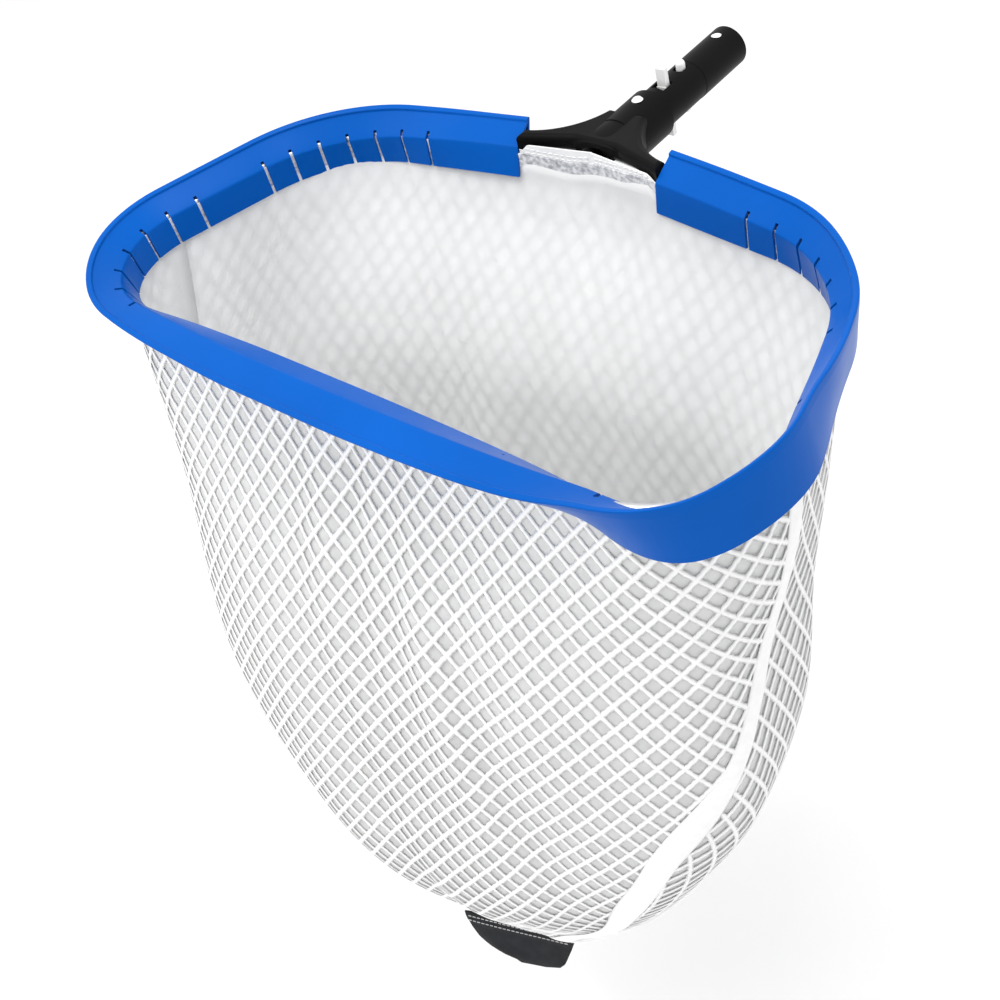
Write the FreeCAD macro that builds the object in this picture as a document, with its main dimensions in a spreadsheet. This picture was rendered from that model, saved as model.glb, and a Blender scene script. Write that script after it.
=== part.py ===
"""Leaf skimmer net: a deep mesh bag on a D-shaped hoop with a slotted plastic edging,
a moulded yoke and a handle spigot with a spring clip that locks into a telescopic pole.

Frame: the origin is the centre of the spigot's open end, +Y runs out along the spigot towards
the pole, +X is to the right across the hoop and +Z is up. The hoop lies flat, about level with
the spigot, and the bag hangs below it. All sizes are in millimetres.
"""
import FreeCAD
import Part

import math
import os

from FreeCAD import Placement, Rotation, Vector
import Sketcher

DIMENSIONS = [
    # the hoop's centre line, from the middle of its front to its ends in the yoke
    ("hoop_front_y", -391.8, "front run of the hoop"),
    ("hoop_z", -4.0, "height of the hoop's centre line"),
    ("front_run", 185.2, "half of the straight front run"),
    ("front_bend", 63.6, "radius of the two front bends"),
    ("side_run", 70.86, "straight side run"),
    ("side_lean", 16.9, "degrees that a side run leans inwards towards the back"),
    ("back_bend", 101.0, "radius of the two back bends"),
    ("back_run", 88.4, "back run as far as the end of the edging"),
    ("back_slope", 8.5, "degrees that a back run rises towards the yoke"),
    ("yoke_run", 45.0, "back run inside the yoke"),
    ("hoop_rod", 3.0, "outer radius of the hoop's tube"),
    ("hoop_wall", 0.8, "wall of the hoop's tube"),
    ("rod_out", 1.2, "from the centre line outwards to the tube's own axis"),
    ("rod_up", 8.0, "from the centre line up to the tube's own axis"),
    # edging
    ("edging_wall", 1.6, "wall of the edging"),
    ("slit_width", 2.2, "width of a relief slit"),
    ("first_slit", 72.3, "from the edging's end to its first slit"),
    ("first_pitch", 21.7, "pitch of the slits at a back bend"),
    ("second_slit", 255.5, "from the edging's end to the first slit of a front bend"),
    ("second_pitch", 22.8, "pitch of the slits at a front bend"),
    # handle
    ("spigot_radius", 14.3, "outer radius of the spigot"),
    ("relief_radius", 14.1, "outer radius of the relieved band round the clip's windows"),
    ("spigot_bore", 12.0, "inner radius of the spigot"),
    ("nose_land", 47.0, "full-size nose of the spigot"),
    ("root_land", 86.5, "where the full size starts again"),
    ("spigot_length", 125.0, "whole length of the handle tube"),
    ("socket_rim", 90.0, "from the spigot's end to the socket's rim"),
    ("socket_radius", 17.2, "outer radius of the socket"),
    ("socket_end", 126.5, "from the spigot's end to where the socket turns into the hood"),
    ("hood_end", 149.5, "from the spigot's end to the hood's lip"),
    ("cross_hole_y", -12.0, "cross hole near the spigot's end"),
    ("cross_hole", 3.5, "radius of that cross hole"),
    ("socket_pin_y", -102.0, "pin that holds the handle tube in the socket"),
    ("socket_pin", 2.9, "radius of that pin"),
    # spring clip
    ("clip_hinge_y", -20.0, "where the clip's legs flex"),
    ("clip_hinge_z", 2.2, "height of that line above the axis"),
    ("lock_pin_y", -54.0, "lock pin"),
    ("lock_pin", 3.2, "radius of a lock pin"),
    ("lock_pin_top", 19.3, "top of a lock pin above the axis"),
    ("release_tab_y", -74.0, "release tab"),
    ("release_tab_top", 24.3, "top of a release tab above the axis"),
    ("leg_width", 8.0, "width of a clip leg"),
    ("leg_thick", 2.0, "thickness of a clip leg"),
    ("leg_end_y", -76.3, "free end of a clip leg"),
    # bag
    ("hem_top", 4.5, "top of the hem band"),
    ("hem_bottom", -18.0, "bottom of the hem band"),
    ("hem_thick", 0.9, "thickness of the hem band"),
    ("hem_in", 3.75, "from the hoop's centre line inwards to the middle of the hem band"),
    ("sleeve_radius", 3.45, "outer radius of the hem sleeve on the hoop's tube"),
    ("facing_top", -4.5, "top of the grey facing on the hem band"),
    ("facing_bottom", -13.5, "bottom of the grey facing"),
    ("bag_top", -18.4, "where the mesh starts below the hem"),
    ("bag_bottom", -591.8, "lowest point of the mesh"),
    ("bag_twist", 17.0, "degrees that the bag's bottom turns about the vertical"),
    ("mesh_thick", 1.4, "thickness of the outer net or of the liner"),
    ("tab_width", 100.0, "pull tab along the bottom seam"),
    ("tab_drop", 41.0, "pull tab from the seam to its lower edge"),
    ("tab_thick", 2.4, "thickness of the pull tab"),
    ("tab_turn", 19.0, "degrees that the tab's top edge turns about the vertical"),
    ("tab_lean", 19.3, "degrees that the tab hangs forward of straight down"),
]

STATIONS = ("mouth", "upper", "middle", "lower", "bottom")
"""Five levels of the bag, equally spaced from its mouth to its bottom."""
STATION_SIZES = [
    ("bag_width", (233.0, 228.4, 234.6, 194.0, 164.3), "half width of the bag"),
    ("bag_front", (71.3, 81.0, 87.0, 108.4, 48.7), "from the side seams forward to the front panel"),
    ("bag_back", (126.0, 135.8, 151.9, 172.6, 192.8), "from the side seams back to the back panel"),
    ("bag_seam", (-311.7, -352.9, -378.9, -384.5, -403.0), "y of the side seams"),
]
for stem, values, meaning in STATION_SIZES:
    for station, value in zip(STATIONS, values):
        DIMENSIONS.append((f"{stem}_{station}", value, f"{meaning}, {station}"))

MOUTH_FADE = 0.25
"""Part of the bag's depth over which the hoop's outline fades into an oval."""
BOTTOM_ROUNDING = 2.39
"""Power of the superellipse that closes the bag at its bottom."""
BAG_LEVELS = (0.0, 0.06, 0.12, 0.19, 0.27, 0.38, 0.5, 0.62, 0.74, 0.83, 0.9, 0.945, 0.972, 0.989)
PANEL_POINTS = 22
SLITS_PER_BEND = 7
FIT = 0.05
"""Radial clearance of a pin or tube in its hole."""

doc = FreeCAD.newDocument("LeafSkimmer")
sheet = doc.addObject("Spreadsheet::Sheet", "Dims")
for number, (alias, value, note) in enumerate(DIMENSIONS, start=1):
    sheet.set(f"A{number}", note)
    sheet.set(f"B{number}", str(value))
    sheet.setAlias(f"B{number}", alias)
doc.recompute()

sub_parts = []


def size(alias):
    return float(sheet.get(alias))


def finished(obj, label):
    """Register a sub-part under its own label, which names its file."""
    obj.Label = label
    sub_parts.append(obj)


def blend(low, high, part):
    return low + (high - low) * part


def bind(obj, **expressions):
    """Bind properties to the sheet; a double underscore stands for a dot."""
    for name, expression in expressions.items():
        obj.setExpression(name.replace("__", "."), expression)


# ---------------------------------------------------------------- the hoop's path


def hoop_runs(offset=0.0, back_run=None):
    """The right half of the hoop from its front middle, moved outwards by offset."""
    lean = math.radians(90.0 + size("side_lean"))
    slope = math.radians(180.0 - size("back_slope"))
    last = size("back_run") if back_run is None else back_run
    return [
        ("line", size("front_run"), 0.0),
        ("arc", size("front_bend") + offset, lean),
        ("line", size("side_run"), lean),
        ("arc", size("back_bend") + offset, slope),
        ("line", last, slope),
    ]


def hoop_length():
    """Length of half the hoop's centre line, as far as the end of the edging."""
    heading = 0.0
    total = 0.0
    for kind, amount, end_heading in hoop_runs():
        total += amount if kind == "line" else amount * (end_heading - heading)
        heading = end_heading
    return total


def hoop_point(distance):
    """Point and heading on the right half of the centre line, from its front middle."""
    x, y, heading = 0.0, size("hoop_front_y"), 0.0
    for kind, amount, end_heading in hoop_runs(back_run=300.0):
        if kind == "line":
            step = min(distance, amount)
            x += step * math.cos(heading)
            y += step * math.sin(heading)
        else:
            step = min(distance, amount * (end_heading - heading))
            turned = heading + step / amount
            x += amount * (math.sin(turned) - math.sin(heading))
            y -= amount * (math.cos(turned) - math.cos(heading))
            heading = turned
        distance -= step
        if distance <= 1e-9:
            break
    return x, y, heading


def hoop_geometry(offset, back_run):
    """Line segments and arcs of the right half, as Part curves in the XY plane."""
    x, y, heading = 0.0, size("hoop_front_y") - offset, 0.0
    curves = []
    for kind, amount, end_heading in hoop_runs(offset, back_run):
        if kind == "line":
            start = Vector(x, y, 0)
            x += amount * math.cos(heading)
            y += amount * math.sin(heading)
            curves.append(Part.LineSegment(start, Vector(x, y, 0)))
        else:
            centre = Vector(x - amount * math.sin(heading), y + amount * math.cos(heading), 0)
            circle = Part.Circle(centre, Vector(0, 0, 1), amount)
            quarter = math.pi / 2
            curves.append(Part.ArcOfCircle(circle, heading - quarter, end_heading - quarter))
            x = centre.x + amount * math.sin(end_heading)
            y = centre.y - amount * math.cos(end_heading)
            heading = end_heading
    return curves


def run_to_middle(offset):
    """Length of the last back run when it goes on to the plane of symmetry."""
    curves = hoop_geometry(offset, 1.0)
    return curves[-1].StartPoint.x / math.cos(math.radians(size("back_slope")))


# ---------------------------------------------------------------- PartDesign helpers


def new_body(name):
    return doc.addObject("PartDesign::Body", name)


def origin_plane(body, role):
    for feature in body.Origin.OriginFeatures:
        if feature.Role == role:
            return feature
    raise ValueError(role)


def new_sketch(body, role, name):
    sketch = body.newObject("Sketcher::SketchObject", name)
    sketch.AttachmentSupport = [(origin_plane(body, role), "")]
    sketch.MapMode = "FlatFace"
    return sketch


def tube_circle(sketch, radius, expression):
    """A circle on the tube's own axis in a section sketch, bound to the sheet."""
    centre = Vector(-size("rod_out"), size("rod_up"), 0)
    index = sketch.addGeometry(Part.Circle(centre, Vector(0, 0, 1), radius), False)
    driven = [
        (Sketcher.Constraint("DistanceX", index, 3, -1, 1, -centre.x), "Dims.rod_out"),
        (Sketcher.Constraint("DistanceY", -1, 1, index, 3, centre.y), "Dims.rod_up"),
        (Sketcher.Constraint("Radius", index, radius), expression),
    ]
    for constraint, bound in driven:
        sketch.setExpression(f"Constraints[{sketch.addConstraint(constraint)}]", bound)


def add_spine(body, back_run_expression, back_run):
    """A fully constrained sketch of half the hoop's path, bound to the sheet."""
    spine = new_sketch(body, "XY_Plane", body.Name + "_spine")
    bind(spine, AttachmentOffset__Base__z="Dims.hoop_z")
    first, bend, side, second_bend, last = spine.addGeometry(hoop_geometry(0.0, back_run), False)
    spine.addConstraint(Sketcher.Constraint("PointOnObject", first, 1, -2))
    spine.addConstraint(Sketcher.Constraint("Horizontal", first))
    chain = (first, bend, side, second_bend, last)
    for before, after in zip(chain[:-1], chain[1:]):
        spine.addConstraint(Sketcher.Constraint("Tangent", before, 2, after, 1))
    driven = [
        (Sketcher.Constraint("DistanceY", first, 1, -1, 1, -size("hoop_front_y")), "-Dims.hoop_front_y"),
        (Sketcher.Constraint("Distance", first, size("front_run")), "Dims.front_run"),
        (Sketcher.Constraint("Radius", bend, size("front_bend")), "Dims.front_bend"),
        (Sketcher.Constraint("Distance", side, size("side_run")), "Dims.side_run"),
        (Sketcher.Constraint("Radius", second_bend, size("back_bend")), "Dims.back_bend"),
        (Sketcher.Constraint("Distance", last, back_run), back_run_expression),
    ]
    for constraint, expression in driven:
        index = spine.addConstraint(constraint)
        spine.setExpression(f"Constraints[{index}]", expression)
    lean = math.radians(90.0 + size("side_lean"))
    slope = math.radians(180.0 - size("back_slope"))
    spine.addConstraint(Sketcher.Constraint("Angle", side, lean))
    spine.addConstraint(Sketcher.Constraint("Angle", last, slope))
    return spine


def sweep_both_halves(body, profile, spine):
    """Sweep a profile along half the hoop and mirror it about the YZ plane."""
    pipe = body.newObject("PartDesign::AdditivePipe", body.Name + "_pipe")
    pipe.Profile = profile
    pipe.Spine = spine
    doc.recompute()
    mirrored = body.newObject("PartDesign::Mirrored", body.Name + "_mirrored")
    mirrored.Originals = [pipe]
    mirrored.MirrorPlane = (origin_plane(body, "YZ_Plane"), [""])
    body.Tip = mirrored
    doc.recompute()


def section_sketch(body):
    """A sketch across the hoop's front run, with its origin on the hoop's centre line.

    Its first axis runs inwards, away from the front, and its second axis runs up.
    """
    sketch = new_sketch(body, "YZ_Plane", body.Name + "_section")
    bind(sketch, AttachmentOffset__Base__x="Dims.hoop_front_y", AttachmentOffset__Base__y="Dims.hoop_z")
    return sketch


def rounded_outline(corners):
    """Lines and tangent arcs through corners given as (x, y, radius)."""
    count = len(corners)
    points = [Vector(x, y, 0) for x, y, _ in corners]
    starts, ends, arcs = [], [], []
    for index, (_, _, radius) in enumerate(corners):
        here = points[index]
        back = (points[index - 1] - here).normalize()
        forward = (points[(index + 1) % count] - here).normalize()
        if radius <= 0:
            starts.append(here)
            ends.append(here)
            arcs.append(None)
            continue
        half = back.getAngle(forward) / 2
        reach = radius / math.tan(half)
        middle = here + (back + forward).normalize() * (radius / math.sin(half) - radius)
        starts.append(here + back * reach)
        ends.append(here + forward * reach)
        arcs.append(Part.Arc(starts[-1], middle, ends[-1]))
    curves = []
    for index in range(count):
        if arcs[index] is not None:
            curves.append(arcs[index])
        curves.append(Part.LineSegment(ends[index], starts[(index + 1) % count]))
    return curves


def cylinder(name, radius, length, base, axis):
    """A Part cylinder whose radius and height are expressions, from base along axis."""
    solid = doc.addObject("Part::Cylinder", name)
    bind(solid, Radius=radius, Height=length)
    solid.Placement = Placement(base, Rotation(Vector(0, 0, 1), axis))
    return solid


def fused(name, shapes):
    union = doc.addObject("Part::MultiFuse", name)
    union.Shapes = shapes
    return union


def cut(name, base, tools):
    """Base less the tools, joined first where there is more than one."""
    result = doc.addObject("Part::Cut", name)
    result.Base = base
    result.Tool = tools[0] if len(tools) == 1 else fused(name + "_tools", tools)
    return result


def box(name, low, high):
    """A Part box between two corners."""
    solid = doc.addObject("Part::Box", name)
    solid.Length = high.x - low.x
    solid.Width = high.y - low.y
    solid.Height = high.z - low.z
    solid.Placement = Placement(low, Rotation())
    return solid


# ---------------------------------------------------------------- hoop and edging


def make_frame_hoop():
    """Bent aluminium tube whose two ends sit in the yoke."""
    body = new_body("frame_hoop_body")
    run = size("back_run") + size("yoke_run")
    spine = add_spine(body, "Dims.back_run + Dims.yoke_run", run)
    section = section_sketch(body)
    tube_circle(section, size("hoop_rod"), "Dims.hoop_rod")
    tube_circle(section, size("hoop_rod") - size("hoop_wall"), "Dims.hoop_rod - Dims.hoop_wall")
    sweep_both_halves(body, section, spine)
    finished(body, "frame_hoop")


EDGING_CREASE = (-6.1, 10.0)
EDGING_LIP = (10.8, 24.2)
EDGING_INNER_FOOT = (-7.9, -10.0)
EDGING_OUTER_FOOT = (4.3, -13.0)
SLIT_TOP_OUT = -3.0
"""The edging's outer corners and the slits' outer end, outwards from and above the hoop."""


def make_edging():
    """Plastic channel over the hoop: inner wall, sloping flank, raised lip, outer wall."""
    body = new_body("edging_body")
    spine = add_spine(body, "Dims.back_run", size("back_run"))
    section = section_sketch(body)
    wall = size("edging_wall")
    outward_up = [
        (EDGING_INNER_FOOT[0], EDGING_INNER_FOOT[1], 0.5),
        (EDGING_CREASE[0], EDGING_CREASE[1], 2.4),
        (EDGING_LIP[0], EDGING_LIP[1], 1.5),
        (EDGING_OUTER_FOOT[0], EDGING_OUTER_FOOT[1], 0.5),
        (EDGING_OUTER_FOOT[0] - wall, EDGING_OUTER_FOOT[1] + 0.3, 0.5),
        (EDGING_LIP[0] - 2.0 * wall, EDGING_LIP[1] - 2.9 * wall, 1.2),
        (EDGING_CREASE[0] + wall, EDGING_CREASE[1] - 0.45 * wall, 0.8),
        (EDGING_INNER_FOOT[0] + wall, EDGING_INNER_FOOT[1] + 0.15, 0.5),
    ]
    section.addGeometry(rounded_outline([(-out, up, radius) for out, up, radius in outward_up]), False)
    sweep_both_halves(body, section, spine)
    slits = []
    total = hoop_length()
    for start, pitch in (("first_slit", "first_pitch"), ("second_slit", "second_pitch")):
        for number in range(SLITS_PER_BEND):
            distance = total - size(start) - number * size(pitch)
            x, y, heading = hoop_point(distance)
            for side in (1, -1):
                slits.append(make_slit(len(slits), side, x, y, heading))
    finished(cut("edging_cut", body, slits), "edging")


def make_slit(number, side, x, y, heading):
    """One relief slit: a thin box through the inner wall and the edge of the flank."""
    solid = doc.addObject("Part::Box", f"slit_{number}")
    reach = 8.0
    foot = -EDGING_INNER_FOOT[1] + 4.0
    bind(solid, Length="Dims.slit_width")
    solid.Width = reach
    solid.Height = foot + EDGING_CREASE[1] + 6.0
    turn = math.degrees(heading) if side > 0 else 180.0 - math.degrees(heading)
    inwards = 0.0 if side > 0 else 180.0
    rotation = Rotation(Vector(0, 0, 1), turn + inwards)
    start = Vector(-size("slit_width") / 2, -SLIT_TOP_OUT, -foot)
    solid.Placement = Placement(Vector(side * x, y, size("hoop_z")) + rotation.multVec(start), rotation)
    return solid


# ---------------------------------------------------------------- yoke and handle

WING_TIP_X = 55.6
WING_THICK = 17.5
WING_BOTTOM = -2.2
WING_FRONT = 3.0
WING_BACK = 6.8
"""The wings: reach along X, thickness, height of the underside, and front and back faces
measured from the hoop's centre line."""
WING_FILLET = 3.6
YOKE_SHOULDER = (14.5, -113.0)
"""Half width and place along the handle where the wings' curved back edges meet the socket."""
YOKE_WAIST = (29.0, 14.0)
"""A point on that curved edge: half width, and how far ahead of the wing's tip."""
YOKE_FOOT = 16.0
"""Half width of the straight middle of the wings' front edge."""
HOOD_SECTIONS = (
    (-0.3, 16.6, 16.6, -16.6),
    (0.15, 17.6, 16.7, -15.2),
    (0.5, 20.0, 16.2, -9.5),
    (1.0, 26.0, 13.6, -1.4),
)
"""The hood from the socket to its lip: how far along, half width, top and bottom."""
NOTCH = (16.0, 10.6, 16.0)
"""The arched notch under the hood's lip: half width, height above the axis and depth."""


def oval_wire(y, half_width, top, bottom):
    """A closed oval across the handle's axis."""
    points = []
    for number in range(24):
        angle = 2 * math.pi * number / 24
        height = (top + bottom) / 2 + (top - bottom) / 2 * math.sin(angle)
        points.append(Vector(half_width * math.cos(angle), y, height))
    curve = Part.BSplineCurve()
    curve.interpolate(points, PeriodicFlag=True)
    return Part.Wire(curve.toShape())


def make_yoke():
    """Black moulding: a socket for the handle tube that opens into a hood between two wings."""
    wings = new_body("yoke_wings")
    outline = new_sketch(wings, "XY_Plane", "yoke_outline")
    bind(outline, AttachmentOffset__Base__z=str(WING_BOTTOM))
    tip = hoop_geometry(0.0, size("back_run"))[-1].EndPoint
    slope = math.tan(math.radians(size("back_slope")))
    tip_y = tip.y - (WING_TIP_X - tip.x) * slope
    back_edge = Vector(WING_TIP_X, tip_y + WING_BACK, 0)
    front_edge = Vector(WING_TIP_X, tip_y - WING_FRONT, 0)
    shoulder = Vector(*YOKE_SHOULDER, 0)
    waist = Vector(YOKE_WAIST[0], back_edge.y + YOKE_WAIST[1], 0)
    foot = Vector(YOKE_FOOT, 0.7 - size("hood_end"), 0)
    mirrored = [Vector(-v.x, v.y, 0) for v in (back_edge, front_edge, shoulder, waist, foot)]
    left_back, left_front, left_shoulder, left_waist, left_foot = mirrored
    outline.addGeometry([
        Part.Arc(back_edge, waist, shoulder),
        Part.LineSegment(shoulder, left_shoulder),
        Part.Arc(left_shoulder, left_waist, left_back),
        Part.LineSegment(left_back, left_front),
        Part.LineSegment(left_front, left_foot),
        Part.LineSegment(left_foot, foot),
        Part.LineSegment(foot, front_edge),
        Part.LineSegment(front_edge, back_edge),
    ], False)
    pad = wings.newObject("PartDesign::Pad", "yoke_pad")
    pad.Profile = outline
    pad.Length = WING_THICK
    doc.recompute()
    rim = [f"Edge{number}" for number, edge in enumerate(pad.Shape.Edges, start=1)
           if edge.BoundBox.ZLength < 0.01 and edge.BoundBox.ZMax > WING_BOTTOM + 1]
    fillet = wings.newObject("PartDesign::Fillet", "yoke_fillet")
    fillet.Base = (pad, rim)
    fillet.Radius = WING_FILLET
    doc.recompute()
    start, end = -size("socket_end"), -size("hood_end")
    hood = doc.addObject("Part::Feature", "yoke_hood")
    hood.Shape = Part.makeLoft([oval_wire(blend(start, end, part), half, top, bottom)
                                for part, half, top, bottom in HOOD_SECTIONS], True, False)
    rim_y = -size("socket_rim")
    barrel = cylinder("yoke_barrel", "Dims.socket_radius", "Dims.socket_end - Dims.socket_rim",
                      Vector(0, rim_y, 0), Vector(0, -1, 0))
    bore = cylinder("yoke_bore", f"Dims.spigot_radius + {FIT}", "Dims.spigot_length - Dims.socket_rim + 1",
                    Vector(0, rim_y + 0.5, 0), Vector(0, -1, 0))
    pin_hole = cylinder("yoke_pin_hole", f"Dims.socket_pin + {FIT}", "60",
                        Vector(0, size("socket_pin_y"), -30), Vector(0, 0, 1))
    half, height, depth = NOTCH
    notch = doc.addObject("Part::Feature", "yoke_notch")
    lip_oval = oval_wire(end - 1.0, half, height, WING_BOTTOM - 12.0)
    deep_oval = oval_wire(end + depth, half - 3.0, height - 3.0, WING_BOTTOM - 9.0)
    notch.Shape = Part.makeLoft([lip_oval, deep_oval], True, False)
    tools = [bore, pin_hole, notch]
    tube_end = hoop_geometry(size("rod_out"), size("back_run") + size("yoke_run") + 0.5)[-1].EndPoint
    for side in (1, -1):
        mouth = Vector(side * tube_end.x, tube_end.y, size("hoop_z") + size("rod_up"))
        outwards = Vector(side, -slope, 0).normalize()
        tools.append(cylinder(f"yoke_hoop_bore_{side + 1}", f"Dims.hoop_rod + {FIT}", "80", mouth, outwards))
    finished(cut("yoke_cut", fused("yoke_union", [wings, hood, barrel]), tools), "yoke")


WINDOW_PLAY = 0.7
LOCK_SLIDE = 2.3
"""Play round a lock pin, and how far its window goes on for the pin's swing."""
RELEASE_WINDOW = (5.2, -70.8, -81.5)
"""The window for a release tab: half width, near end and far end."""


def make_handle_tube():
    """Black tube that slides into the pole, with cross hole, clip windows and pin hole."""
    body = new_body("handle_tube_body")
    half = new_sketch(body, "YZ_Plane", "handle_half")
    outer, inner, relief = size("spigot_radius"), size("spigot_bore"), size("relief_radius")
    nose, root, length = size("nose_land"), size("root_land"), size("spigot_length")
    corners = [
        (0.0, inner, 0.4), (0.0, outer, 0.0), (-nose, outer, 0.0), (-nose, relief, 0.0),
        (-root, relief, 0.0), (-root, outer, 0.0), (-length, outer, 0.0), (-length, inner, 0.0),
    ]
    half.addGeometry(rounded_outline(corners), False)
    revolved = body.newObject("PartDesign::Revolution", "handle_turned")
    revolved.Profile = half
    revolved.ReferenceAxis = (half, ["H_Axis"])
    revolved.Angle = 360.0
    doc.recompute()
    across = Vector(0, 0, 1)
    tools = [cylinder("cross_hole", "Dims.cross_hole", "60", Vector(0, size("cross_hole_y"), -30), across)]
    tools.append(cylinder("pin_hole", f"Dims.socket_pin + {FIT}", "60",
                          Vector(0, size("socket_pin_y"), -30), across))
    pin_y = size("lock_pin_y")
    reach = size("lock_pin") + WINDOW_PLAY
    for number, y in enumerate((pin_y, pin_y - LOCK_SLIDE)):
        tools.append(cylinder(f"lock_window_{number}", f"Dims.lock_pin + {WINDOW_PLAY}", "60",
                              Vector(0, y, -30), across))
    far_y = pin_y - LOCK_SLIDE
    tools.append(box("lock_window_middle", Vector(-reach, far_y, -30), Vector(reach, pin_y, 30)))
    half, near, far = RELEASE_WINDOW
    tools.append(box("release_window", Vector(-half, far, -30), Vector(half, near, 30)))
    finished(cut("handle_cut", body, tools), "handle_tube")


PIN_HEAD = (3.8, 2.6, 1.3)
"""A pin head: radius at its foot, radius at its top and height."""


def make_socket_pin():
    """White pin through socket and tube, with a low round head at each end."""
    reach = size("socket_radius") + 0.1
    y = size("socket_pin_y")
    shank = cylinder("pin_shank", "Dims.socket_pin", "2 * Dims.socket_radius + 0.2",
                     Vector(0, y, -reach), Vector(0, 0, 1))
    pieces = [shank]
    for side in (1, -1):
        head = doc.addObject("Part::Cone", f"pin_head_{side + 1}")
        head.Radius1, head.Radius2, head.Height = PIN_HEAD
        head.Placement = Placement(Vector(0, y, side * reach), Rotation(Vector(0, 0, 1), Vector(0, 0, side)))
        pieces.append(head)
    finished(fused("socket_pin_union", pieces), "socket_pin")


def make_nose_rivet():
    """White rivet across the tube's nose, seen a little below the rim of the cross hole."""
    reach = size("relief_radius") - 0.3
    rivet = cylinder("nose_rivet_shank", f"Dims.cross_hole - {FIT}", "2 * Dims.relief_radius - 0.6",
                     Vector(0, size("cross_hole_y"), -reach), Vector(0, 0, 1))
    finished(rivet, "nose_rivet")


CLIP_GAP = 0.4
"""Gap between the fixed bend and the legs, which flex apart from it."""
LEG_RISE = 8.0
"""How far a leg's middle line rises from its hinge to the release tab."""
RELEASE_TAB = (3.5, 1.9)
"""Half width and half depth of a release tab."""


def make_clip():
    """White spring clip: a fixed bend and two legs, each with a lock pin and a release tab."""
    hinge_y, hinge_z = size("clip_hinge_y"), size("clip_hinge_z")
    half_width = size("leg_width") / 2
    thick = size("leg_thick")
    bend_centre = hinge_y + CLIP_GAP
    base = Vector(-half_width, bend_centre, 0)
    outer = cylinder("clip_bend_outer", "Dims.clip_hinge_z + Dims.leg_thick / 2", "Dims.leg_width",
                     base, Vector(1, 0, 0))
    inner = cylinder("clip_bend_inner", "Dims.clip_hinge_z - Dims.leg_thick / 2", "Dims.leg_width",
                     base, Vector(1, 0, 0))
    back = box("clip_bend_back", Vector(-10, bend_centre - 10, -10), Vector(10, bend_centre, 10))
    finished(cut("clip_bend_cut", outer, [inner, back]), "clip_bend")
    end_y = size("leg_end_y")
    rise = LEG_RISE / (hinge_y - size("release_tab_y"))
    end_z = hinge_z + rise * (hinge_y - end_y)
    pin_y, pin_radius = size("lock_pin_y"), size("lock_pin")
    tab_y = size("release_tab_y")
    for name, side in (("upper", 1), ("lower", -1)):
        body = new_body(f"clip_leg_{name}_body")
        outline = new_sketch(body, "YZ_Plane", f"clip_leg_{name}_side")
        corners = [
            (hinge_y, side * (hinge_z - thick / 2)), (hinge_y, side * (hinge_z + thick / 2)),
            (end_y, side * (end_z + thick / 2)), (end_y, side * (end_z - thick / 2)),
        ]
        points = [Vector(y, z, 0) for y, z in corners]
        outline.addGeometry([Part.LineSegment(points[i], points[(i + 1) % 4]) for i in range(4)], False)
        pad = body.newObject("PartDesign::Pad", f"clip_leg_{name}_pad")
        pad.Profile = outline
        pad.Midplane = True
        bind(pad, Length="Dims.leg_width")
        doc.recompute()
        up = Vector(0, 0, side)
        pin_foot = hinge_z + rise * (hinge_y - pin_y)
        pin = cylinder(f"lock_pin_{name}", "Dims.lock_pin", f"Dims.lock_pin_top - Dims.lock_pin - {pin_foot}",
                       Vector(0, pin_y, side * pin_foot), up)
        dome = doc.addObject("Part::Sphere", f"lock_dome_{name}")
        bind(dome, Radius="Dims.lock_pin")
        dome.Placement = Placement(Vector(0, pin_y, side * (size("lock_pin_top") - pin_radius)), Rotation())
        tab_foot = hinge_z + rise * (hinge_y - tab_y)
        levels = sorted((side * tab_foot, side * size("release_tab_top")))
        half, deep = RELEASE_TAB
        tab = box(f"release_tab_{name}", Vector(-half, tab_y - deep, levels[0]),
                  Vector(half, tab_y + deep, levels[1]))
        finished(fused(f"clip_leg_{name}_union", [body, pin, dome, tab]), f"clip_leg_{name}")


# ---------------------------------------------------------------- hem


def closed_hoop_outline(offset):
    """The whole hoop's outline moved outwards by offset, closed at the back."""
    right = hoop_geometry(offset, run_to_middle(offset))
    mirror = FreeCAD.Matrix(-1, 0, 0, 0, 0, 1, 0, 0, 0, 0, 1, 0, 0, 0, 0, 1)
    left = []
    for curve in right:
        copy = curve.copy()
        copy.transform(mirror)
        left.append(copy)
    return right + left


def outline_face(offset):
    wire = Part.Wire(Part.__sortEdges__([curve.toShape() for curve in closed_hoop_outline(offset)]))
    return Part.Face(wire)


def ring_shape(middle_offset, thick, top, bottom):
    """A closed band of the hoop's outline: two offset outlines, cut and raised."""
    outer = outline_face(middle_offset + thick / 2)
    inner = outline_face(middle_offset - thick / 2)
    ring = outer.cut(inner).Faces[0]
    ring.translate(Vector(0, 0, bottom))
    return ring.extrude(Vector(0, 0, top - bottom))


def shape_part(label, shape, placement=Placement()):
    """A sub-part whose shape comes from the sheet's values in this script."""
    feature = doc.addObject("Part::Feature", label + "_feature")
    feature.Shape = shape
    feature.Placement = placement
    finished(feature, label)


SLEEVE_SHORT = 4.0
"""How far inside the edging's ends the sleeve stops."""


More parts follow.
